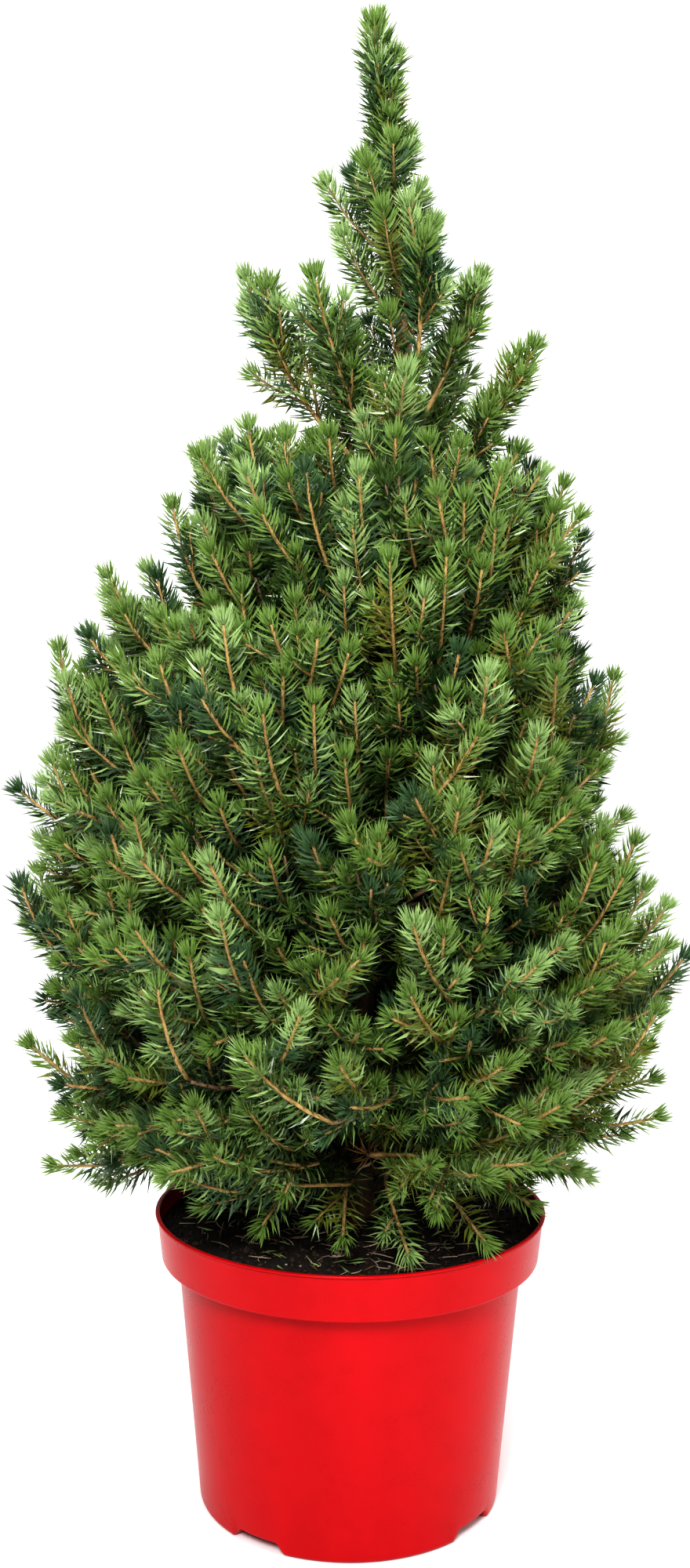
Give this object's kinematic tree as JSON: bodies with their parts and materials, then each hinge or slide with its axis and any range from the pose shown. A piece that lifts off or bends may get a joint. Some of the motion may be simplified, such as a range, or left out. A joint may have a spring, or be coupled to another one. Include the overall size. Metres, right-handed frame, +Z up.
{
  "type": "dwarf spruce in a pot",
  "caption": "Conical dwarf spruce with a dense needle crown and a slim leader, growing in a tapered plastic nursery pot that stands on its flat underside.",
  "frame": {"origin": "centre of the pot's flat underside, on the ground", "axes": "+Z up along the trunk, +X to the right and -Y towards the front of the plant"},
  "size_m": [0.3607, 0.3503, 0.7814],
  "materials": {
    "pot_plastic": "gloss",
    "potting_soil": "matte",
    "bark": "matte",
    "needles": "matte"
  },
  "bodies": {
    "root": {"bough_back_left": "bark", "bough_back_right": "bark", "bough_left_tall": "bark", "bough_low_4": "bark", "bough_middle_2": "bark", "bough_middle_5": "bark", "bough_right_outer": "bark", "bough_right_tall": "bark", "bough_second_leader": "bark", "bough_shoulder_1": "bark", "bough_shoulder_3": "bark", "bough_shoulder_5": "bark", "bough_upper_3": "bark", "bough_upper_6": "bark", "foliage_back_left": "needles", "foliage_back_right": "needles", "foliage_front": "needles", "foliage_leader_collar": "needles", "foliage_leader_tip": "needles", "foliage_left_inner": "needles", "foliage_left_tall": "needles", "foliage_low_1": "needles", "foliage_low_2": "needles", "foliage_low_3": "needles", "foliage_low_4": "needles", "foliage_low_5": "needles", "foliage_low_6": "needles", "foliage_low_7": "needles", "foliage_middle_1": "needles", "foliage_middle_2": "needles", "foliage_middle_3": "needles", "foliage_middle_4": "needles", "foliage_middle_5": "needles", "foliage_middle_6": "needles", "foliage_middle_7": "needles", "foliage_right_outer": "needles", "foliage_right_tall": "needles", "foliage_second_leader": "needles", "foliage_shoulder_1": "needles", "foliage_shoulder_2": "needles", "foliage_shoulder_3": "needles", "foliage_shoulder_4": "needles", "foliage_shoulder_5": "needles", "foliage_shoulder_6": "needles", "foliage_skirt_1": "needles", "foliage_skirt_2": "needles", "foliage_skirt_3": "needles", "foliage_skirt_4": "needles", "foliage_skirt_5": "needles", "foliage_skirt_6": "needles", "foliage_upper_1": "needles", "foliage_upper_2": "needles", "foliage_upper_3": "needles", "foliage_upper_4": "needles", "foliage_upper_5": "needles", "foliage_upper_6": "needles", "pot": "pot_plastic", "soil": "potting_soil", "trunk": "bark"}
  },
  "joints": []
}
